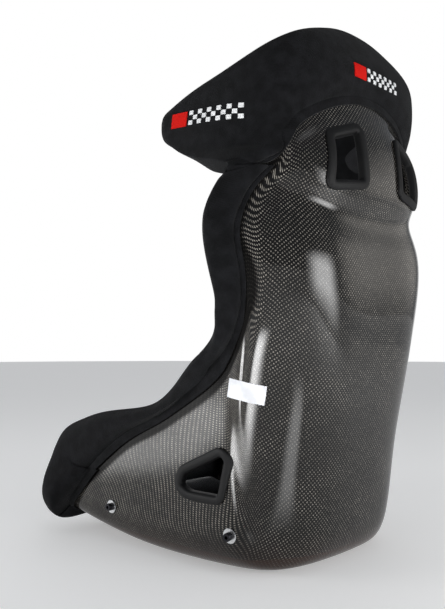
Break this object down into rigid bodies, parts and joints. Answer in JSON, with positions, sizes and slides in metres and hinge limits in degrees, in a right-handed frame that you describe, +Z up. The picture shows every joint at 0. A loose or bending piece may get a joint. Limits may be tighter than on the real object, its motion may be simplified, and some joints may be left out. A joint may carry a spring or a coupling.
{
  "type": "racing bucket seat",
  "caption": "One-piece carbon bucket seat with wrap-round head restraint, padded rim, removable cushions, harness slots and side mounts.",
  "frame": {"origin": "middle of the flat base of the shell, halfway between the side-mount bolts in Y, on the centre plane in X", "axes": "+Z up along the back, -Y forwards the way the sitter faces, +X to the sitter's left"},
  "size_m": [0.5514, 0.6423, 0.8874],
  "materials": {
    "carbon_laminate": "woven carbon laminate under clear gloss lacquer",
    "cover_jersey": "matt black flame-retardant jersey over foam",
    "cushion_velour": "matt black velour over foam",
    "slot_plastic": "moulded satin dark grey",
    "zinc_steel": "bright zinc plate",
    "black_steel": "black oxide",
    "sewn_thread": "red and white satin-stitch embroidery",
    "label_vinyl": "blank white vinyl label"
  },
  "bodies": {
    "root": {"seat_shell": "carbon_laminate", "rim_roll_left": "cover_jersey", "rim_roll_right": "cover_jersey", "front_lip_roll": "cover_jersey", "head_rim_gusset": "cover_jersey", "shoulder_slot_bezel_left": "slot_plastic", "shoulder_slot_trim_left": "slot_plastic", "lap_slot_bezel_left": "slot_plastic", "lap_slot_trim_left": "slot_plastic", "mount_washer_front_left": "zinc_steel", "mount_screw_front_left": "black_steel", "mount_insert_front_left": "zinc_steel", "mount_washer_rear_left": "zinc_steel", "mount_screw_rear_left": "black_steel", "mount_insert_rear_left": "zinc_steel", "shoulder_slot_bezel_right": "slot_plastic", "shoulder_slot_trim_right": "slot_plastic", "lap_slot_bezel_right": "slot_plastic", "lap_slot_trim_right": "slot_plastic", "mount_washer_front_right": "zinc_steel", "mount_screw_front_right": "black_steel", "mount_insert_front_right": "zinc_steel", "mount_washer_rear_right": "zinc_steel", "mount_screw_rear_right": "black_steel", "mount_insert_rear_right": "zinc_steel", "strap_slot_bezel": "slot_plastic", "strap_slot_trim": "slot_plastic", "head_cover_panel": "cover_jersey", "seat_cushion_front": "cushion_velour", "seat_cushion_rear": "cushion_velour", "lumbar_cushion": "cushion_velour", "backrest_cushion": "cushion_velour", "head_cushion": "cushion_velour", "thigh_pad_left": "cushion_velour", "thigh_pad_right": "cushion_velour", "side_pad_left": "cushion_velour", "side_pad_right": "cushion_velour", "head_wing_pad_left": "cushion_velour", "head_wing_pad_right": "cushion_velour", "wing_mark_left": "sewn_thread", "wing_mark_right": "sewn_thread", "rear_mark": "sewn_thread", "blank_label": "label_vinyl"}
  },
  "joints": []
}
